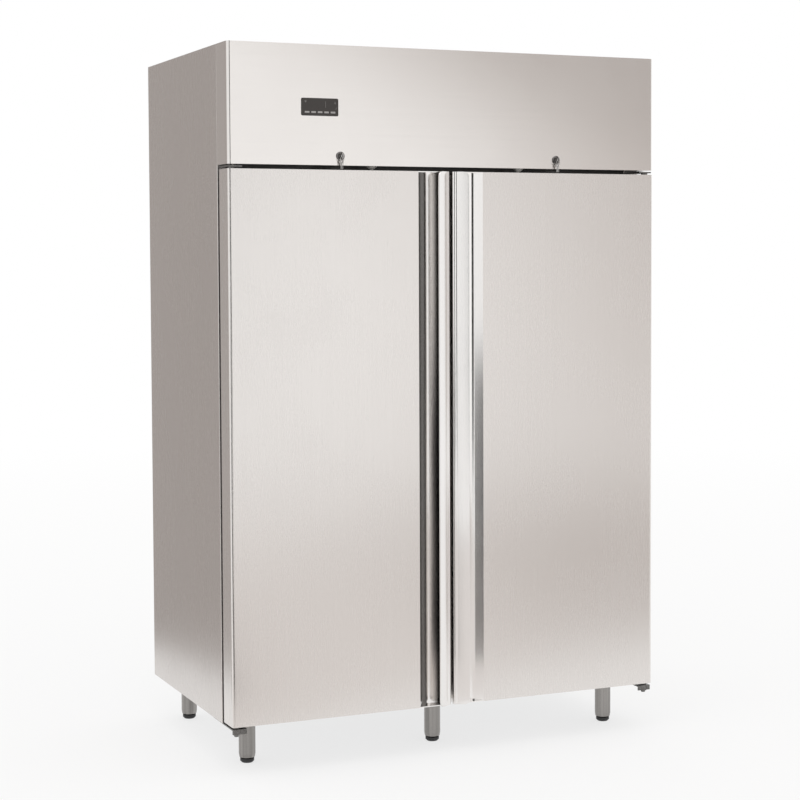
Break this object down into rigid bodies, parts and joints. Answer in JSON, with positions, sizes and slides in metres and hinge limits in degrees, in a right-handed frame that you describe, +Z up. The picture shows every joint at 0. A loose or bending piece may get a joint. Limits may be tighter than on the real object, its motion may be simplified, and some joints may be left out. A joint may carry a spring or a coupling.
{
  "type": "two-door upright refrigerator",
  "caption": "Tall stainless cabinet refrigerator with full-height folded edge handles, keyed door locks, a digital controller in its hood, a roof condensing unit and levelling legs.",
  "frame": {"origin": "on the floor, under the middle of the bounding box", "axes": "+X to the right as seen from the front, front faces -Y, +Z up"},
  "size_m": [1.396, 0.831, 2.11],
  "materials": {
    "stainless": "brushed, vertical grain on the doors",
    "inner_stainless": "satin",
    "zinc_steel": "galvanised",
    "chrome": "polished",
    "foam": "rigid foam",
    "end_cap": "satin moulding",
    "seal": "matt",
    "black_plastic": "matt",
    "pale_plastic": "matt",
    "button_grey": "matt",
    "window": "gloss",
    "black_paint": "satin black",
    "fin_aluminium": "bright",
    "copper": "bare copper"
  },
  "bodies": {
    "cabinet": {"left_side_panel": "stainless", "right_side_panel": "stainless", "hood_panel": "stainless", "leg_tubes": "stainless", "inner_liner": "inner_stainless", "centre_mullion": "inner_stainless", "shelf_uprights": "inner_stainless", "shelf_rails": "inner_stainless", "evaporator_cover": "inner_stainless", "rear_panel": "zinc_steel", "base_panel": "zinc_steel", "roof_deck": "zinc_steel", "unit_base": "zinc_steel", "hinge_brackets": "zinc_steel", "hinge_bolts": "zinc_steel", "fan_shroud": "zinc_steel", "left_shelves": "chrome", "right_shelves": "chrome", "lock_barrels": "chrome", "insulation_foam": "foam", "controller_housing": "black_plastic", "door_switch_bodies": "pale_plastic", "electrical_box": "pale_plastic", "display_window": "window", "compressor": "black_paint", "condenser_fan_motor": "black_paint", "evaporator_fan_motor": "black_paint", "condenser_coil": "fin_aluminium", "evaporator_coil": "fin_aluminium", "refrigerant_pipes": "copper"},
    "left_door": {"left_door_skin": "stainless", "left_door_handle": "stainless", "left_door_foam": "foam", "left_door_liner": "inner_stainless", "left_door_gasket": "seal", "left_door_end_caps": "end_cap"},
    "left_lock": {"left_lock_plug": "chrome", "left_lock_cam": "zinc_steel", "left_key": "chrome"},
    "left_hanging_keys": {"left_spare_keys": "chrome"},
    "left_plunger": {"left_switch_plunger": "pale_plastic"},
    "right_door": {"right_door_skin": "stainless", "right_door_handle": "stainless", "right_door_foam": "foam", "right_door_liner": "inner_stainless", "right_door_gasket": "seal", "right_door_end_caps": "end_cap"},
    "right_lock": {"right_lock_plug": "chrome", "right_lock_cam": "zinc_steel", "right_key": "chrome"},
    "right_hanging_keys": {"right_spare_keys": "chrome"},
    "right_plunger": {"right_switch_plunger": "pale_plastic"},
    "button_1": {"controller_button_1": "button_grey"},
    "button_2": {"controller_button_2": "button_grey"},
    "button_3": {"controller_button_3": "button_grey"},
    "button_4": {"controller_button_4": "button_grey"},
    "button_5": {"controller_button_5": "button_grey"},
    "condenser_rotor": {"condenser_fan": "black_plastic"},
    "evaporator_rotor": {"evaporator_fan": "black_plastic"},
    "levelling_feet": {"foot_inserts": "black_plastic"}
  },
  "joints": [
    {"name": "left_door_hinge", "type": "hinge", "parent": "cabinet", "child": "left_door", "pos_m": [-0.679, -0.3705, 0.144], "axis": [0, 0, -1], "range_deg": [0, 110], "stiffness_Nm_per_rad": 2, "springref_deg": -11.46},
    {"name": "left_lock_turn", "type": "hinge", "parent": "cabinet", "child": "left_lock", "pos_m": [-0.354, -0.3925, 1.79], "axis": [0, 1, 0], "range_deg": [0, 90]},
    {"name": "left_keys_hang", "type": "hinge", "parent": "left_lock", "child": "left_hanging_keys", "pos_m": [-0.354, -0.4065, 1.78325], "axis": [0, 1, 0], "range_deg": [-90, 0]},
    {"name": "left_plunger_push", "type": "slide", "parent": "cabinet", "child": "left_plunger", "axis": [0, 0, 1], "range_m": [0, 0.004], "stiffness_N_per_m": 300, "springref_m": -0.002},
    {"name": "right_door_hinge", "type": "hinge", "parent": "cabinet", "child": "right_door", "pos_m": [0.679, -0.3705, 0.144], "axis": [0, 0, 1], "range_deg": [0, 110], "stiffness_Nm_per_rad": 2, "springref_deg": -11.46},
    {"name": "right_lock_turn", "type": "hinge", "parent": "cabinet", "child": "right_lock", "pos_m": [0.354, -0.3925, 1.79], "axis": [0, -1, 0], "range_deg": [0, 90]},
    {"name": "right_keys_hang", "type": "hinge", "parent": "right_lock", "child": "right_hanging_keys", "pos_m": [0.354, -0.4065, 1.78325], "axis": [0, -1, 0], "range_deg": [-90, 0]},
    {"name": "right_plunger_push", "type": "slide", "parent": "cabinet", "child": "right_plunger", "axis": [0, 0, 1], "range_m": [0, 0.004], "stiffness_N_per_m": 300, "springref_m": -0.002},
    {"name": "button_1_push", "type": "slide", "parent": "cabinet", "child": "button_1", "axis": [0, 1, 0], "range_m": [0, 0.0008], "stiffness_N_per_m": 800, "springref_m": -0.0005},
    {"name": "button_2_push", "type": "slide", "parent": "cabinet", "child": "button_2", "axis": [0, 1, 0], "range_m": [0, 0.0008], "stiffness_N_per_m": 800, "springref_m": -0.0005},
    {"name": "button_3_push", "type": "slide", "parent": "cabinet", "child": "button_3", "axis": [0, 1, 0], "range_m": [0, 0.0008], "stiffness_N_per_m": 800, "springref_m": -0.0005},
    {"name": "button_4_push", "type": "slide", "parent": "cabinet", "child": "button_4", "axis": [0, 1, 0], "range_m": [0, 0.0008], "stiffness_N_per_m": 800, "springref_m": -0.0005},
    {"name": "button_5_push", "type": "slide", "parent": "cabinet", "child": "button_5", "axis": [0, 1, 0], "range_m": [0, 0.0008], "stiffness_N_per_m": 800, "springref_m": -0.0005},
    {"name": "condenser_fan_spin", "type": "hinge", "parent": "cabinet", "child": "condenser_rotor", "pos_m": [0.29075, 0.0335, 1.9082], "axis": [1, 0, 0], "continuous": true},
    {"name": "evaporator_fan_spin", "type": "hinge", "parent": "cabinet", "child": "evaporator_rotor", "pos_m": [0, 0.0365, 1.569], "axis": [0, 0, -1], "continuous": true},
    {"name": "feet_level", "type": "slide", "parent": "cabinet", "child": "levelling_feet", "axis": [0, 0, -1], "range_m": [0, 0.03]}
  ],
  "couplings": [
    {"joint": "left_keys_hang", "follows": "left_lock_turn", "ratio": -1},
    {"joint": "right_keys_hang", "follows": "right_lock_turn", "ratio": -1}
  ]
}
